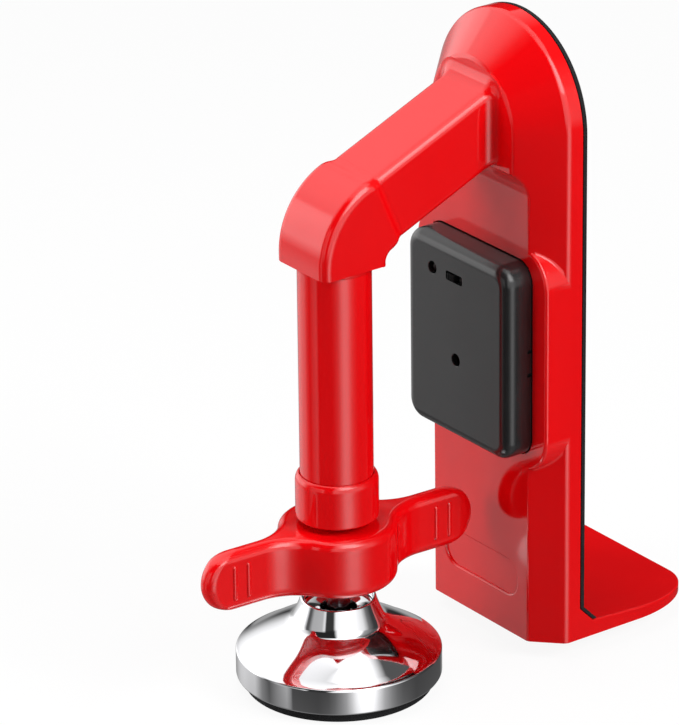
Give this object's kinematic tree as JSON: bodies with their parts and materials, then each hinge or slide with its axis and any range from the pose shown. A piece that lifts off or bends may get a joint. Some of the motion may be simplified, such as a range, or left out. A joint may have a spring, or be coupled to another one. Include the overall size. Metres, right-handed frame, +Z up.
{
  "type": "door stop alarm",
  "caption": "Portable door stop with a plate and flange for the door, an arm and post over a screw-down swivel foot, and a small alarm box on the plate.",
  "frame": {"origin": "middle of the whole object in plan, on the floor under the rubber foot", "axes": "+Z up the post, +Y towards the door that the pad lies against, +X to the right seen from the room"},
  "size_m": [0.0514, 0.1347, 0.1624],
  "materials": {
    "door_plate": "high gloss moulded plastic",
    "door_pad": "matt foam rubber",
    "elbow_housing": "high gloss moulded plastic",
    "post_tube": "gloss enamel on steel tube",
    "post_collar": "high gloss moulded plastic",
    "drive_nut": "machined",
    "alarm_case": "satin moulded plastic",
    "alarm_cover": "satin moulded plastic",
    "alarm_tape": "closed cell foam tape",
    "alarm_board": "solder mask",
    "piezo_disc": "bare",
    "alarm_led": "clear tinted lens",
    "switch_body": "bare",
    "switch_knob": "satin",
    "shock_sensor": "bare",
    "battery_cell_1": "bare",
    "battery_cell_2": "bare",
    "battery_cell_3": "bare",
    "battery_strip_rear": "bare",
    "battery_strip_front": "bare",
    "wing_handle": "high gloss moulded plastic",
    "lead_screw": "bright zinc plate",
    "swivel_shell": "natural nylon",
    "seat_liner": "black nylon",
    "ball_retainer": "spring steel",
    "foot_base": "mirror chrome plate",
    "foot_pad": "matt rubber"
  },
  "bodies": {
    "stop_body": {"door_plate": "door_plate", "door_pad": "door_pad", "elbow_housing": "elbow_housing", "post_tube": "post_tube", "post_collar": "post_collar", "drive_nut": "drive_nut", "alarm_case": "alarm_case", "alarm_cover": "alarm_cover", "alarm_tape": "alarm_tape", "alarm_board": "alarm_board", "piezo_disc": "piezo_disc", "alarm_led": "alarm_led", "switch_body": "switch_body", "shock_sensor": "shock_sensor", "battery_cell_1": "battery_cell_1", "battery_cell_2": "battery_cell_2", "battery_cell_3": "battery_cell_3", "battery_strip_rear": "battery_strip_rear", "battery_strip_front": "battery_strip_front"},
    "switch": {"switch_knob": "switch_knob"},
    "swivel": {"swivel_shell": "swivel_shell"},
    "handle": {"wing_handle": "wing_handle", "lead_screw": "lead_screw"},
    "tilt_seat": {"seat_liner": "seat_liner"},
    "foot": {"foot_base": "foot_base", "foot_pad": "foot_pad", "ball_retainer": "ball_retainer"}
  },
  "joints": [
    {"name": "screw_travel", "type": "slide", "parent": "stop_body", "child": "swivel", "axis": [0, 0, -1], "range_m": [0, 0.03]},
    {"name": "handle_turn", "type": "hinge", "parent": "swivel", "child": "handle", "pos_m": [0, -0.02835, 0.0135], "axis": [0, 0, -1], "range_deg": [0, 3600]},
    {"name": "foot_tilt_x", "type": "hinge", "parent": "swivel", "child": "tilt_seat", "pos_m": [0, -0.02835, 0.0135], "axis": [1, 0, 0], "range_deg": [-8, 8]},
    {"name": "foot_tilt_y", "type": "hinge", "parent": "tilt_seat", "child": "foot", "pos_m": [0, -0.02835, 0.0135], "axis": [0, 1, 0], "range_deg": [-8, 8]},
    {"name": "switch_slide", "type": "slide", "parent": "stop_body", "child": "switch", "axis": [1, 0, 0], "range_m": [0, 0.002]}
  ],
  "couplings": [
    {"joint": "handle_turn", "follows": "screw_travel", "rad_per_m": 2094.4}
  ]
}
